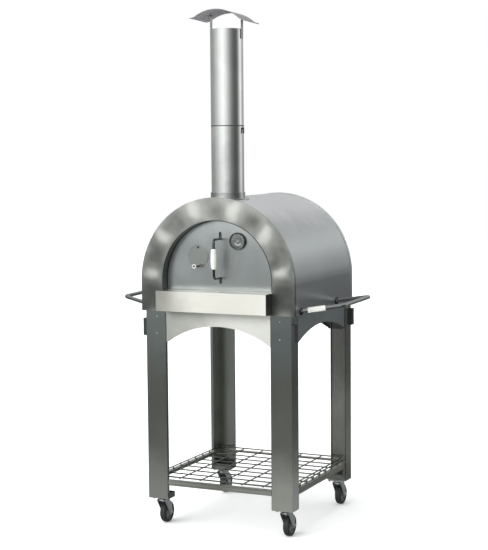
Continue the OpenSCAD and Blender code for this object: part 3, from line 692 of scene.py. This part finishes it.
def log_shelf():
    """Every wire is bent up at both ends and welded to the rim wire."""
    lo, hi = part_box("log_shelf_rim")
    r = 3 * MM
    rail_z = lo.z
    x0, x1, y0, y1 = lo.x + r, hi.x - r, lo.y + r, hi.y - r
    rim_z = hi.z - r
    mid_y = (y0 + y1) / 2
    bend = 3.2 * MM
    bm = bmesh.new()
    for i in range(WIRES_LONG):
        x = (i - (WIRES_LONG - 1) / 2) * LONG_STEP
        z = rail_z + 3 * r - 0.5 * MM
        tube(bm, rounded_path([(x, y0, rim_z), (x, y0, z), (x, y1, z), (x, y1, rim_z)], bend, 5), r, 10)
    for i in range(WIRES_CROSS):
        y = mid_y + (i - (WIRES_CROSS - 1) / 2) * CROSS_STEP
        z = rail_z + r
        tube(bm, rounded_path([(x0, y, rim_z), (x0, y, z), (x1, y, z), (x1, y, rim_z)], bend, 5), r, 10)
    corners = [(x0, mid_y, rim_z), (x0, y0, rim_z), (x1, y0, rim_z), (x1, y1, rim_z), (x0, y1, rim_z),
               (x0, mid_y, rim_z)]
    tube(bm, rounded_path(corners, 18 * MM, 6), r, 12)
    shelf = finish_mesh("wire_shelf", bm, "wire", "oven", angle=60)
    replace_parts(shelf, "log_shelf_wires", "log_shelf_rim")


log_shelf()


# ---- screws

def stand_screws():
    lo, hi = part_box("stand_screws")
    head = 5 * MM
    rows = (lo.z + head, hi.z - head)
    faces = ((lo.y + 2.5 * MM, -1), (hi.y - 2.5 * MM, 1))
    bm = bmesh.new()
    for x in (lo.x + head, hi.x - head):
        for z in rows:
            for y, out in faces:
                lathe(bm, mm((0, -1.5), (5, -1.5), (5, 0.5), (4.2, 1.7), (2.9, 2.4), (1.8, 2.5),
                             (1.7, 1.2), (0, 1.0)), (x, y, z), (0, out, 0), 24, closed=False)
    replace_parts(finish_mesh("button_screws", bm, "screw", "oven"), "stand_screws")


stand_screws()


# ---- side rails

def side_rail(side):
    """Bent tube loop with round feet and a bolt in each foot."""
    node = "side_rail_left" if side < 0 else "side_rail_right"
    lo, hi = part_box(node)
    r, foot_r = 9 * MM, 19 * MM
    wall = hi.x if side < 0 else lo.x
    bar = (lo.x if side < 0 else hi.x) - side * r
    feet = ((lo.y + foot_r, lo.z + foot_r), (hi.y - foot_r, lo.z + foot_r + 4 * MM))
    bar_front, bar_back = lo.y + 92 * MM, hi.y - 45 * MM
    points = [(wall, feet[0][0], feet[0][1]), (bar, bar_front, hi.z - r - 7 * MM),
              (bar, bar_back, hi.z - r), (wall, feet[1][0], feet[1][1])]
    name = "left" if side < 0 else "right"
    bm = bmesh.new()
    tube(bm, rounded_path(points, 30 * MM, 8), r, 20)
    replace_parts(finish_mesh(f"bent_rail_{name}", bm, "rail", "oven"), node)
    bm = bmesh.new()
    for y, z in feet:
        lathe(bm, [(0, 0), (foot_r, 0), (foot_r, 2.5 * MM), (17.5 * MM, 4 * MM),
                   (11 * MM, 4.3 * MM), (10 * MM, 9 * MM), (0, 9 * MM)], (wall, y, z), (side, 0, 0),
              32, closed=False)
    finish_mesh(f"rail_feet_{name}", bm, "rod", "oven")
    return points


rail_points = {side: side_rail(side) for side in (-1, 1)}
GRIP_START, GRIP_LENGTH = 0.15, 0.41        # as parts of the rail's front arm


def rail_grip():
    """White sleeve on the right rail's front arm."""
    a, b = (Vector(p) for p in rail_points[1][:2])
    arm = b - a
    start, length = a + arm * GRIP_START, arm.length * GRIP_LENGTH
    r = 12.2 * MM
    bm = bmesh.new()
    lathe(bm, [(9.2 * MM, 0), (10.8 * MM, 0), (r - 0.4 * MM, 2 * MM), (r, 5 * MM),
               (r, length - 5 * MM), (r - 0.4 * MM, length - 2 * MM), (10.8 * MM, length),
               (9.2 * MM, length)], start, arm.normalized(), 32)
    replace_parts(finish_mesh("rail_sleeve", bm, "grip", "oven"), "rail_grip")


rail_grip()


# ---- chimney

def flue_pipe(name, node, key, profile):
    mid = middle(node)
    bm = bmesh.new()
    lathe(bm, profile, (0, mid.y, 0), segments=96)
    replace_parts(finish_mesh(name, bm, key, "oven", angle=25), node)


def chimney():
    lo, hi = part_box("upper_flue")
    r, wall = (hi.x - lo.x) / 2, 1.2 * MM
    joint, rim = lo.z, hi.z
    flue_pipe("upper_pipe", "upper_flue", "pipe", [
        (r - wall, joint), (r - 0.4 * MM, joint), (r, joint + 0.6 * MM), (r, joint + 3 * MM),
        (r, rim - 3 * MM), (r, rim - MM), (r - 0.5 * MM, rim), (r - wall, rim)])
    low_lo, low_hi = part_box("lower_flue")
    step = 2 * MM
    flue_pipe("lower_pipe", "lower_flue", "pipe_low", [
        (r - wall, low_lo.z), (r, low_lo.z), (r, low_lo.z + step), (r, joint - 5 * MM - step),
        (r, joint - 5 * MM), (r - 0.2 * MM, joint - 3.2 * MM), (r - 1.2 * MM, joint - 3 * MM),
        (r - 1.3 * MM, joint - MM), (r - 1.5 * MM, joint), (r - 1.5 * MM, low_hi.z),
        (r - 2.4 * MM, low_hi.z), (r - 2.4 * MM, joint - 20 * MM)])


def pipe_joint_shadow():
    """Painted shadow: a near-black ring at the joint of the two pipes."""
    lo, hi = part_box("upper_flue")
    joint, r = lo.z, hi.x
    bm = bmesh.new()
    lathe(bm, [(r - 1.5 * MM, joint - 4 * MM), (r + 0.1 * MM, joint - 4 * MM),
               (r + 0.5 * MM, joint - 3 * MM), (r + 0.5 * MM, joint - 0.8 * MM),
               (r + 0.1 * MM, joint + 0.1 * MM), (r - 1.5 * MM, joint + 0.1 * MM)],
          (0, middle("upper_flue").y, 0), segments=96)
    finish_mesh("flue_joint_shadow", bm, "painted_shadow", "oven", angle=60)


CAP_TILT = math.radians(4)      # the cap leans to the right
CAP_PITCH = math.radians(2)     # and to the back
CAP_FRONT, CAP_BACK = -98 * MM, 70 * MM     # its ends, from the chimney's axis
CAP_RISE = 81 * MM              # its crown, above the chimney's rim
CAP_HALF, CAP_DROP = 134 * MM, 45 * MM      # its flared tips, from the crown
ARCH_HALF, ARCH_SAG = 108 * MM, 36 * MM     # the ends of its arch, from the crown
ARCH_R = (ARCH_HALF ** 2 + ARCH_SAG ** 2) / (2 * ARCH_SAG)


def rain_cap(mid_y, top):
    """Arched sheet with flared and hemmed tips."""
    reach = math.degrees(math.asin(ARCH_HALF / ARCH_R))
    line = [(x, z - ARCH_R) for x, z in arc(0, 0, ARCH_R, 90 + reach, 90 - reach, 28)]
    flare = []
    for k in range(1, 7):
        s = k / 6
        flare.append((ARCH_HALF + (CAP_HALF - ARCH_HALF) * s,
                      -ARCH_SAG - (CAP_DROP - ARCH_SAG) * math.sin(s * math.pi / 2)))
    line = [(-x, z) for x, z in reversed(flare)] + line + flare
    lean = [(x * math.cos(CAP_TILT) + z * math.sin(CAP_TILT),
             top + z * math.cos(CAP_TILT) - x * math.sin(CAP_TILT)) for x, z in line]
    bm = bmesh.new()
    near, far = mid_y + CAP_FRONT, mid_y + CAP_BACK
    bent_sheet(bm, lean, 1.4 * MM, near, far)
    hem = 2.4 * MM
    for x, z in (lean[0], lean[-1]):
        x -= math.copysign(hem, x)
        z -= 0.1 * MM
        tube(bm, [Vector((x, near, z)), Vector((x, far, z))], hem, 12)
    bmesh.ops.rotate(bm, verts=bm.verts, cent=(0, mid_y, top - ARCH_SAG / 2),
                     matrix=Matrix.Rotation(-CAP_PITCH, 3, "X"))
    cap = finish_mesh("arched_cap", bm, "cap", "oven", angle=25)
    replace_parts(cap, "rain_cap")


def cap_straps(mid_y, top, pipe_r):
    """Two straps riveted to the pipe, bent outwards under the cap."""
    lo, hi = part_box("cap_straps")
    centre = Vector((-ARCH_R * math.sin(CAP_TILT), 0, top - ARCH_R * math.cos(CAP_TILT)))
    under = ARCH_R - 1.6 * MM
    x0, bend = pipe_r + 1.4 * MM, 8 * MM
    bm = bmesh.new()
    for side in (-1, 1):

        def roof(x):
            return centre.z + math.sqrt(under ** 2 - (side * x - centre.x) ** 2)

        pts = [(x0, lo.z), (x0, roof(x0) - bend)]
        for k in range(1, 6):
            a = math.radians(18 * k)
            x = x0 + bend * (1 - math.cos(a))
            pts.append((x, min(roof(x0) - bend + bend * math.sin(a), roof(x) - 0.4 * MM)))
        pts.append((x0 + 12 * MM, roof(x0 + 12 * MM) - 0.3 * MM))
        line = [(side * x, z) for x, z in pts]
        if side < 0:
            line.reverse()
        bent_sheet(bm, line, 1.3 * MM, lo.y, hi.y)
        rivet = Vector((side * (pipe_r + 1.3 * MM), (lo.y + hi.y) / 2, lo.z + 25 * MM))
        lathe(bm, mm((0, 0), (4, 0), (3.6, 1.2), (2, 2.0), (0, 2.2)), rivet, (side, 0, 0), 20,
              closed=False)
    for v in bm.verts:
        if v.co.z > top - 2 * ARCH_SAG:
            v.co.z -= (v.co.y - mid_y) * math.tan(CAP_PITCH)
    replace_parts(finish_mesh("bent_straps", bm, "strap", "oven", angle=30), "cap_straps")


chimney()
pipe_joint_shadow()
flue_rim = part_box("upper_flue")[1]
cap_y, cap_top = middle("upper_flue").y, flue_rim.z + CAP_RISE
rain_cap(cap_y, cap_top)
cap_straps(cap_y, cap_top, flue_rim.x)


# ---- doorway

def doorway_edge():
    """Rolled edge round the arched opening of the front plate, painted near-black as the shade along
    the opening.
    """
    mouth_r, bead = 274 * MM, 1.9 * MM
    lo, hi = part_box("door_panel")
    centre_z = hi.z - (hi.x - lo.x) / 2
    foot = lo.z + 4 * MM
    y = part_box("front_fascia")[0].y + 0.2 * MM
    path = [(-mouth_r, y, foot)] + \
        [(x, y, centre_z + z) for x, z in arc(0, 0, mouth_r, 180, 0, 72)] + [(mouth_r, y, foot)]
    bm = bmesh.new()
    tube(bm, [Vector(p) for p in path], bead, 10)
    finish_mesh("doorway_edge", bm, "painted_shadow", "oven", angle=60)


doorway_edge()


# ---- door

def door_handle():
    """Bent rod on two screwed tabs, with a turned grip between two collars."""
    lo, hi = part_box("handle_rod")
    r, half = 5.5 * MM, 6 * MM
    face, out = hi.y, lo.y + r
    foot = face - 2 * MM
    low, high = lo.z + 28 * MM, hi.z - 32 * MM
    bm = bmesh.new()
    tube(bm, rounded_path([(0, foot, low), (0, out, low), (0, out, high), (0, foot, high)],
                          15 * MM, 8), r, 20)
    for z0, z1 in ((lo.z, low + half), (high - half, hi.z)):
        end = z1 - half if z0 > low else z0 + half
        tab = arc(0, z1 - half, half, 0, 180, 8) + arc(0, z0 + half, half, 180, 360, 8)
        slab(bm, tab, 3 * MM, Matrix.Translation((0, face, 0)) @ FACE_FRONT)
        lathe(bm, mm((0, 0), (3.2, 0), (2.4, 1.4), (0, 1.8)), (0, face - 3 * MM, end), FRONT, 16,
              closed=False)
    rod = finish_mesh("bent_handle", bm, "rod", "door")
    bevel(rod, 0.5 * MM, 2, 50)
    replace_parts(rod, "handle_rod")

    g_lo, g_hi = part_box("handle_grip")
    mid, half_len, big = (g_lo.z + g_hi.z) / 2, (g_hi.z - g_lo.z) / 2, (g_hi.x - g_lo.x) / 2
    bore, end_r, edge = 5.6 * MM, 10 * MM, 1.2 * MM
    profile = [(bore, -half_len), (end_r, -half_len)]
    for k in range(17):
        s = -1 + k / 8
        profile.append((big - 3.2 * MM * s * s - (edge if abs(s) == 1 else 0), s * (half_len - edge)))
    profile += [(end_r, half_len), (bore, half_len)]
    bm = bmesh.new()
    lathe(bm, profile, (0, out, mid), segments=40)
    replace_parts(finish_mesh("barrel_grip", bm, "grip", "door", angle=50), "handle_grip")
    bm = bmesh.new()
    for z, up in ((mid - half_len, -1), (mid + half_len, 1)):
        lathe(bm, mm((5.6, 0.2), (8.5, 0.2), (8.5, 2), (7.5, 3.4), (5.6, 3.4)), (0, out, z),
              (0, 0, up), 28)
    finish_mesh("grip_collars", bm, "rod", "door")


MARKS = 28              # on the dial's scale, every third one longer
SCALE_START, SCALE_TURN = math.radians(225), math.radians(270)


def thermometer():
    """Case, dial with a scale but no figures, needle and domed glass."""
    lo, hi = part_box("thermometer_case")
    centre = Vector(((lo.x + hi.x) / 2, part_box("door_panel")[0].y, (lo.z + hi.z) / 2))
    r = (hi.x - lo.x) / 2
    bm = bmesh.new()
    lathe(bm, [(0, 0), (r - 1.5 * MM, 0), (r, 1.5 * MM), (r, 10 * MM), (r - 1.2 * MM, 12.6 * MM),
               (r - 3.6 * MM, 13.9 * MM), (r - 5.2 * MM, 13.4 * MM), (r - 6 * MM, 11.9 * MM),
               (r - 4.3 * MM, 10.3 * MM), (r - 4.3 * MM, 4 * MM), (0, 4 * MM)],
          centre, FRONT, 72, closed=False)
    lathe(bm, mm((0, 0.5), (3.5, 0.5), (3.5, -64), (0, -65)), centre, FRONT, 16, closed=False)
    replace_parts(finish_mesh("thermometer_bezel", bm, "bezel", "door"),
                "thermometer_case")
    dial_r = r - 4.5 * MM
    bm = bmesh.new()
    lathe(bm, [(0, 4.2 * MM), (dial_r, 4.2 * MM), (dial_r, 5.3 * MM), (dial_r - 4 * MM, 5.6 * MM),
               (2 * MM, 5.6 * MM), (1.6 * MM, 9 * MM), (0, 9.2 * MM)], centre, FRONT, 64, closed=False)
    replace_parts(finish_mesh("dial_plate", bm, "dial", "door"), "thermometer_dial")
    bm = bmesh.new()
    place = Matrix.Translation(centre) @ FACE_FRONT
    level = place @ Matrix.Translation((0, 0, 5.65 * MM))
    paint_t, outer = 0.15 * MM, dial_r - 4.5 * MM
    for k in range(MARKS):
        length, half = (11 * MM, 0.9 * MM) if k % 3 == 0 else (8 * MM, 0.5 * MM)
        inner = dial_r - length
        turn = Matrix.Rotation(SCALE_START - SCALE_TURN * k / (MARKS - 1), 4, "Z")
        slab(bm, [(inner, -half), (outer, -half), (outer, half), (inner, half)], paint_t, level @ turn)
    slab(bm, arc(0, 0, dial_r - 14 * MM, 210, 330, 20) + arc(0, 0, dial_r - 22 * MM, 330, 210, 20),
         paint_t, level)
    finish_mesh("dial_scale", bm, "marks", "door", smooth=False)
    bm = bmesh.new()
    lathe(bm, mm((1.7, 6.7), (4, 6.7), (4, 8), (3, 8.3), (1.7, 8.3)), centre, FRONT, 24)
    at_rest = Matrix.Translation((0, 0, 6.9 * MM)) @ Matrix.Rotation(SCALE_START, 4, "Z")
    slab(bm, mm((-8, -1.4), (3, -1.2), (28, -0.2), (28, 0.2), (3, 1.2), (-8, 1.4)), 0.8 * MM,
         place @ at_rest)
    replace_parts(finish_mesh("needle_pointer", bm, "needle", "needle"), "thermometer_needle")
    bm = bmesh.new()
    lathe(bm, [(0, 10.6 * MM), (dial_r, 10.6 * MM), (dial_r, 11.8 * MM), (dial_r * 0.5, 12.2 * MM),
               (0, 12.3 * MM)], centre, FRONT, 48, closed=False)
    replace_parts(finish_mesh("domed_glass", bm, "glass", "door"), "thermometer_lens")


def back_middle(node):
    """Middle of the node's rear face."""
    lo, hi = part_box(node)
    return Vector(((lo.x + hi.x) / 2, hi.y, (lo.z + hi.z) / 2))


def vent():
    """Round flap on a rivet, with a turned knob that ends in a white ring."""
    lo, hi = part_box("vent_flap")
    r = (hi.x - lo.x) / 2
    pivot = middle("vent_rivet")
    bm = bmesh.new()
    lathe(bm, [(0, 0), (r - 0.6 * MM, 0), (r, 0.5 * MM), (r, 1.5 * MM), (r - 0.7 * MM, 2 * MM),
               (0, 2 * MM)], back_middle("vent_flap"), FRONT, 72, closed=False)
    flap = finish_mesh("vent_disc", bm, "vent", "vent")
    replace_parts(flap, "vent_flap")
    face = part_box("door_panel")[0].y
    bm = bmesh.new()
    lathe(bm, mm((0, 2.8), (6, 2.8), (5.6, 4.4), (3.6, 5.6), (0, 5.8)), (pivot.x, face, pivot.z),
          FRONT, 28, closed=False)
    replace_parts(finish_mesh("vent_rivet_head", bm, "rod", "door"), "vent_rivet")
    k_lo, k_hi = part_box("vent_knob")
    knob, length, head = back_middle("vent_knob"), k_hi.y - k_lo.y, (k_hi.x - k_lo.x) / 2
    bm = bmesh.new()
    lathe(bm, [(head * 0.55, length - 6 * MM), (head * 0.8, length - 9 * MM),
               (head - 0.6 * MM, length - 8 * MM), (head, length - 6 * MM), (head, length - 1.5 * MM),
               (head - 1.2 * MM, length), (head * 0.62, length), (head * 0.55, length - MM)],
          knob, FRONT, 40)
    finish_mesh("knob_ring", bm, "grip", "vent")
    bm = bmesh.new()
    lathe(bm, [(0, 0), (8 * MM, 0), (8 * MM, 1.6 * MM), (4.4 * MM, 2.6 * MM),
               (4.2 * MM, length - 13 * MM), (head * 0.6, length - 8 * MM),
               (head * 0.56, length - 5 * MM), (0, length - 5 * MM)], knob, FRONT, 36, closed=False)
    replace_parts(finish_mesh("turned_knob", bm, "rod", "vent"), "vent_knob")


door_handle()
thermometer()
vent()


# ---- studio

FLOOR_GLOW = 0.17       # keeps the floor white but for the contact shadows


def white_floor():
    """Ground that takes only the contact shadows."""
    bpy.ops.mesh.primitive_plane_add(size=40, location=(0, 0, 0))
    plane = bpy.context.object
    plane.name = "floor"
    mat, _, bsdf = new_material("floor")
    set_inputs(bsdf, {"Base Color": (0.92, 0.92, 0.92, 1), "Roughness": 0.9,
                      "Emission Color": (1, 1, 1, 1), "Emission Strength": FLOOR_GLOW})
    plane.data.materials.append(mat)
    plane.visible_glossy = False


def add_light(name, kind, power):
    """A light that the steel doesn't mirror."""
    data = bpy.data.lights.new(name, kind)
    data.energy = power
    light = bpy.data.objects.new(name, data)
    light.visible_glossy = False
    bpy.context.scene.collection.objects.link(light)
    return light


def area_light(name, location, target, size, power):
    light = add_light(name, "AREA", power)
    light.data.shape = "RECTANGLE"
    light.data.size = light.data.size_y = size
    light.location = location
    aim = Vector(target) - Vector(location)
    light.rotation_euler = aim.to_track_quat("-Z", "Y").to_euler()


def soft_sun(name, elevation, azimuth, strength):
    """Even light from above for the floor and the matt parts, with soft shadows."""
    light = add_light(name, "SUN", strength)
    light.data.angle = math.radians(60)
    light.rotation_euler = (math.radians(90 - elevation), 0, math.radians(azimuth))


AZIMUTH_LIGHT = (     # degrees from straight in front towards the right, brightness near the horizon
    (-180, 0.62), (-150, 0.62), (-120, 0.34), (-82, 0.42), (-52, 0.70), (-26, 1.15), (-4, 1.42),
    (16, 1.10), (36, 0.60), (56, 0.26), (76, 0.12), (100, 0.12), (114, 0.50), (131, 1.30),
    (144, 0.80), (158, 0.38), (180, 0.50))
HEIGHT_LIGHT = (      # sine of the elevation, how much of that brightness is left
    (-1.0, 0.22), (-0.40, 0.50), (-0.25, 0.50), (-0.19, 0.12), (-0.11, 0.06), (-0.07, 0.34),
    (-0.03, 0.80), (0.02, 1.0), (1.0, 1.0))
TOP_LIGHT = 0.75      # brightness overhead
# azimuth in degrees, sine of the elevation, brightness
SOFT_BOX = (-25.0, 0.40, 2.2)       # in front, to the left
STRIP_LAMP = (158.0, 0.24, 0.40)    # behind, to the right


def ramp_of(tree, value, low, high, stops):
    """Brightness as a function of value, through stops given between low and high."""
    scale = tree.nodes.new("ShaderNodeMapRange")
    set_inputs(scale, {"From Min": low, "From Max": high})
    tree.links.new(value, scale.inputs["Value"])
    node = tree.nodes.new("ShaderNodeValToRGB")
    node.color_ramp.interpolation = "EASE"
    elements = node.color_ramp.elements
    while len(elements) < len(stops):
        elements.new(0.5)
    for element, (position, level) in zip(elements, stops):
        element.position = (position - low) / (high - low)
        element.color = (level / 2, level / 2, level / 2, 1)
    tree.links.new(scale.outputs[0], node.inputs[0])
    return math_node(tree, "MULTIPLY", node.outputs[0], 2.0)


def world():
    """White to the camera; for reflections a studio: soft boxes, dark gaps, a dim lower half."""
    scene = bpy.context.scene
    scene.world = bpy.data.worlds.new("studio")
    scene.world.use_nodes = True
    tree = scene.world.node_tree
    tree.nodes.clear()
    out = tree.nodes.new("ShaderNodeOutputWorld")
    seen, lit = tree.nodes.new("ShaderNodeBackground"), tree.nodes.new("ShaderNodeBackground")
    mix = tree.nodes.new("ShaderNodeMixShader")
    path = tree.nodes.new("ShaderNodeLightPath")
    m = maths(tree)
    ray = split_of(tree, tree.nodes.new("ShaderNodeTexCoord").outputs["Generated"])
    up = ray["Z"]
    azimuth = m("MULTIPLY", m("ARCTAN2", ray["X"], m("MULTIPLY", ray["Y"], -1.0)), 180 / math.pi)
    around = ramp_of(tree, azimuth, -180, 180, AZIMUTH_LIGHT)
    height = ramp_of(tree, up, -1, 1, HEIGHT_LIGHT)
    top = remap(tree, up, 0, 1, 0.12, 0.75)
    level = m("ADD", m("MULTIPLY", m("MULTIPLY", around, height), m("SUBTRACT", 1.0, top)),
              m("MULTIPLY", top, TOP_LIGHT))
    for lamp, side_edge, up_edge in ((SOFT_BOX, (18, 42), (0.08, 0.26)),
                                     (STRIP_LAMP, (14, 40), (0.02, 0.16))):
        at_azimuth, at_height, light = lamp
        aside = m("ABSOLUTE", m("SUBTRACT", azimuth, at_azimuth))
        above = m("ABSOLUTE", m("SUBTRACT", up, at_height))
        glow = m("MULTIPLY", remap(tree, aside, 1, 0, *side_edge),
                 remap(tree, above, 1, 0, *up_edge))
        level = m("ADD", level, m("MULTIPLY", glow, light))
    lit.inputs["Color"].default_value = (0.97, 1.0, 0.99, 1)
    tree.links.new(level, lit.inputs["Strength"])
    seen.inputs["Color"].default_value = (1, 1, 1, 1)
    tree.links.new(path.outputs["Is Camera Ray"], mix.inputs[0])
    tree.links.new(lit.outputs[0], mix.inputs[1])
    tree.links.new(seen.outputs[0], mix.inputs[2])
    tree.links.new(mix.outputs[0], out.inputs[0])


CAMERA_PLACE = (2.8216, -6.0662, 1.7477)
CAMERA_ANGLES = (25.165, -5.047, -0.49)     # yaw to the left, pitch up and roll, degrees


def camera():
    data = bpy.data.cameras.new("camera")
    data.lens = 92.9
    data.sensor_width = 36.0
    data.clip_end = 60
    cam = bpy.data.objects.new("camera", data)
    bpy.context.scene.collection.objects.link(cam)
    yaw, pitch, roll = (math.radians(a) for a in CAMERA_ANGLES)
    flat = math.cos(pitch)
    forward = Vector((-math.sin(yaw) * flat, math.cos(yaw) * flat, math.sin(pitch)))
    level = Vector((math.cos(yaw), math.sin(yaw), 0))
    upright = level.cross(forward)
    right = level * math.cos(roll) + upright * math.sin(roll)
    up = upright * math.cos(roll) - level * math.sin(roll)
    cam.matrix_world = Matrix.Translation(CAMERA_PLACE) @ Matrix(
        (right, up, -forward)).transposed().to_4x4()
    bpy.context.scene.camera = cam


world()
white_floor()
soft_sun("overhead", 62, -35, 2.3)
area_light("front_fill", (-1.5, -5.0, 2.6), (0, 0, 1.0), 2.5, 45)
camera()
bpy.context.scene.view_settings.view_transform = "Standard"
